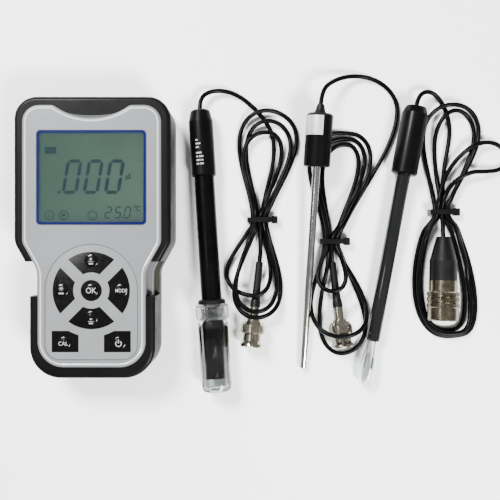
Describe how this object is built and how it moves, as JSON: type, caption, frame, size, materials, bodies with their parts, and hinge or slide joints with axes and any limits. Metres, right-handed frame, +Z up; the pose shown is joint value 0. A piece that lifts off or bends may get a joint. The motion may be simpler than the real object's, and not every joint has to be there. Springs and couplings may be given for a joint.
{
  "type": "handheld water quality meter with probes",
  "caption": "Hand-held water quality meter with an angled-waist case, rubber grips, display and keypad, laid out with its plug-in probes on tied cables.",
  "frame": {"origin": "centre of the meter's back face, on the bench it lies on", "axes": "+Y towards the meter's socket end, +X across the laid-out set, +Z up from the bench"},
  "size_m": [0.2957, 0.1963, 0.0327],
  "materials": {
    "case_grey": "fine satin texture",
    "case_silver": "silver paint, satin, with a bright edge",
    "grip_rubber": "satin moulded",
    "window_clear": "clear, with a dark blue printed border",
    "lcd": "grey-green display glass",
    "keypad_sheet": "satin printed sheet",
    "key_black": null,
    "board_green": "solder mask",
    "chip_black": "moulded",
    "switch_steel": "bright",
    "battery_wrap": "printed sleeve",
    "contact_steel": "plated",
    "screw_steel": "zinc plated",
    "socket_black": "moulded",
    "plug_nickel": "nickel plate",
    "plug_steel": "nickel plate",
    "plug_white": "insulator",
    "probe_black": "satin",
    "seal_black": "soft",
    "clear_plastic": "clear moulded plastic",
    "probe_glass": "clear glass",
    "silver_wire": "drawn silver wire",
    "probe_steel": "polished stainless tube",
    "platinum": "platinised grey",
    "tube_smoke": "dark smoky tube",
    "cable_black": "semi-gloss PVC",
    "tie_black": "satin"
  },
  "bodies": {
    "instrument": {"back_cover": "case_grey", "batteries": "battery_wrap", "battery_contacts": "contact_steel", "bnc_sockets": "plug_nickel", "board_chips": "chip_black", "cable_ties": "tie_black", "case_screws": "screw_steel", "cell_body_tube": "tube_smoke", "cell_cable_hank": "cable_black", "cell_cable_lead": "cable_black", "cell_cap": "probe_black", "cell_glass_tip": "probe_glass", "cell_handle": "probe_black", "cell_platinum_plates": "platinum", "cell_plug_boot": "seal_black", "cell_plug_insert": "socket_black", "cell_plug_shell": "plug_steel", "cell_socket": "plug_nickel", "circuit_board": "board_green", "display_window": "window_clear", "dome_switches": "switch_steel", "front_cover": "case_silver", "keypad_overlay": "keypad_sheet", "lcd_panel": "lcd", "lower_grip": "grip_rubber", "ph_body_tube": "probe_black", "ph_cable_hank": "cable_black", "ph_cable_lead": "cable_black", "ph_cap": "probe_black", "ph_glass_electrode": "probe_glass", "ph_handle": "probe_black", "ph_plug_body": "plug_nickel", "ph_plug_boot": "seal_black", "ph_plug_core": "plug_white", "ph_seal_ring": "seal_black", "ph_silver_wires": "silver_wire", "socket_block": "socket_black", "temp_cable_hank": "cable_black", "temp_cable_lead": "cable_black", "temp_handle": "probe_black", "temp_plug_body": "plug_nickel", "temp_plug_boot": "seal_black", "temp_plug_core": "plug_white", "temp_rod": "probe_steel", "temp_strain_relief": "seal_black", "temp_thermistor": "chip_black", "upper_grip": "grip_rubber"},
    "ok_key": {"ok_key": "key_black"},
    "up_key": {"up_key": "key_black"},
    "down_key": {"down_key": "key_black"},
    "left_key": {"left_key": "key_black"},
    "mode_key": {"mode_key": "key_black"},
    "calibrate_key": {"calibrate_key": "key_black"},
    "power_key": {"power_key": "key_black"},
    "battery_door": {"battery_door": "case_grey"},
    "ph_bottle": {"ph_bottle": "clear_plastic"},
    "ph_bottle_nut": {"ph_bottle_nut": "clear_plastic"},
    "ph_plug_collar": {"ph_plug_collar": "plug_nickel"},
    "temp_plug_collar": {"temp_plug_collar": "plug_nickel"},
    "cell_plug_nut": {"cell_plug_nut": "plug_steel"}
  },
  "joints": [
    {"name": "ok_key_press", "type": "slide", "parent": "instrument", "child": "ok_key", "axis": [0, 0, -1], "range_m": [0, 0.0005], "stiffness_N_per_m": 2000},
    {"name": "up_key_press", "type": "slide", "parent": "instrument", "child": "up_key", "axis": [0, 0, -1], "range_m": [0, 0.0005], "stiffness_N_per_m": 2000},
    {"name": "down_key_press", "type": "slide", "parent": "instrument", "child": "down_key", "axis": [0, 0, -1], "range_m": [0, 0.0005], "stiffness_N_per_m": 2000},
    {"name": "left_key_press", "type": "slide", "parent": "instrument", "child": "left_key", "axis": [0, 0, -1], "range_m": [0, 0.0005], "stiffness_N_per_m": 2000},
    {"name": "mode_key_press", "type": "slide", "parent": "instrument", "child": "mode_key", "axis": [0, 0, -1], "range_m": [0, 0.0005], "stiffness_N_per_m": 2000},
    {"name": "calibrate_key_press", "type": "slide", "parent": "instrument", "child": "calibrate_key", "axis": [0, 0, -1], "range_m": [0, 0.0005], "stiffness_N_per_m": 2000},
    {"name": "power_key_press", "type": "slide", "parent": "instrument", "child": "power_key", "axis": [0, 0, -1], "range_m": [0, 0.0005], "stiffness_N_per_m": 2000},
    {"name": "battery_door_slide", "type": "slide", "parent": "instrument", "child": "battery_door", "axis": [0, -1, 0], "range_m": [0, 0.02]},
    {"name": "ph_bottle_pull", "type": "slide", "parent": "instrument", "child": "ph_bottle", "axis": [0.0619, -0.9979, 0.0195], "range_m": [0, 0.048]},
    {"name": "ph_bottle_nut_turn", "type": "hinge", "parent": "ph_bottle", "child": "ph_bottle_nut", "pos_m": [0.06823, -0.0447, 0.00984], "axis": [-0.0619, 0.9979, -0.0195], "range_deg": [0, 360]},
    {"name": "ph_plug_collar_turn", "type": "hinge", "parent": "instrument", "child": "ph_plug_collar", "pos_m": [0.093, -0.05474, 0.00737], "axis": [0.1004, 0.988, -0.1171], "continuous": true},
    {"name": "temp_plug_collar_turn", "type": "hinge", "parent": "instrument", "child": "temp_plug_collar", "pos_m": [0.14659, -0.05495, 0.00737], "axis": [-0.109, 0.9871, -0.1171], "continuous": true},
    {"name": "cell_plug_nut_turn", "type": "hinge", "parent": "instrument", "child": "cell_plug_nut", "pos_m": [0.20871, -0.03823, 0.00993], "axis": [0.0261, 0.9974, -0.0672], "continuous": true}
  ]
}
